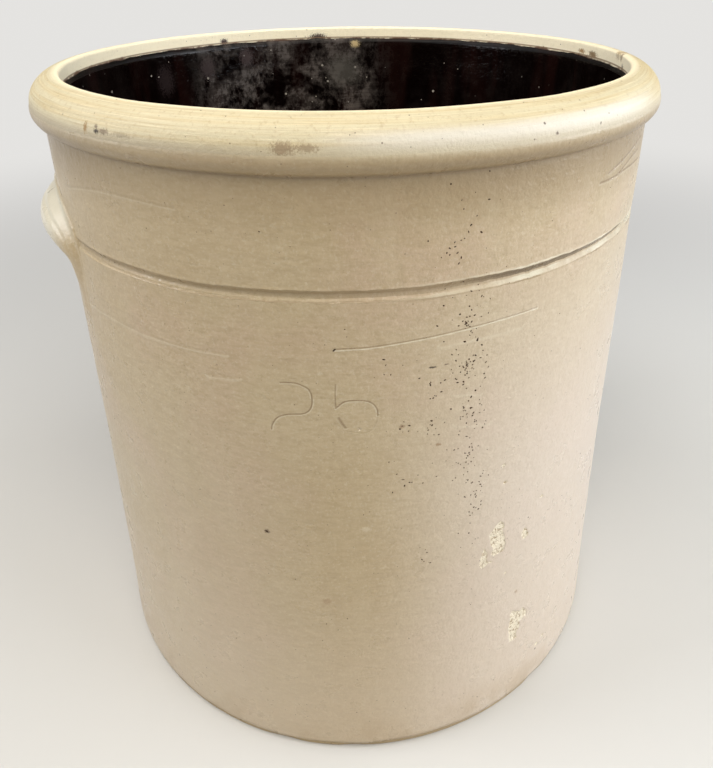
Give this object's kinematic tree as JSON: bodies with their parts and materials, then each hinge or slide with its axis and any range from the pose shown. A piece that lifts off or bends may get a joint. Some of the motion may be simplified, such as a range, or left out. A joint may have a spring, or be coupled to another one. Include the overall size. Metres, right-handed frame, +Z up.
{
  "type": "kraut crock",
  "caption": "Large straight-sided stoneware crock for making kraut, open on top, with a rolled rim, a groove below it, arched ear handles and a dark glazed inside.",
  "frame": {"origin": "centre of the flat underside, on the surface that the crock stands on", "axes": "+Z up along the axis that the crock was turned on, the ear handles on the X axis, the scratched number on the -Y side"},
  "size_m": [0.5582, 0.54, 0.57],
  "materials": {
    "stoneware_clay": "bare fired stoneware, matte",
    "wiped_rim": "thin wiped glaze, satin",
    "pale_glaze": "clear salt-type glaze over pale clay, glossy satin",
    "dark_slip": "dark brown slip glaze, glossy"
  },
  "bodies": {
    "root": {"floor_slab": "stoneware_clay", "lower_wall": "stoneware_clay", "upper_wall": "stoneware_clay", "rolled_rim": "wiped_rim", "left_ear_handle": "pale_glaze", "right_ear_handle": "pale_glaze", "outer_glaze": "pale_glaze", "inner_slip_glaze": "dark_slip"}
  },
  "joints": []
}
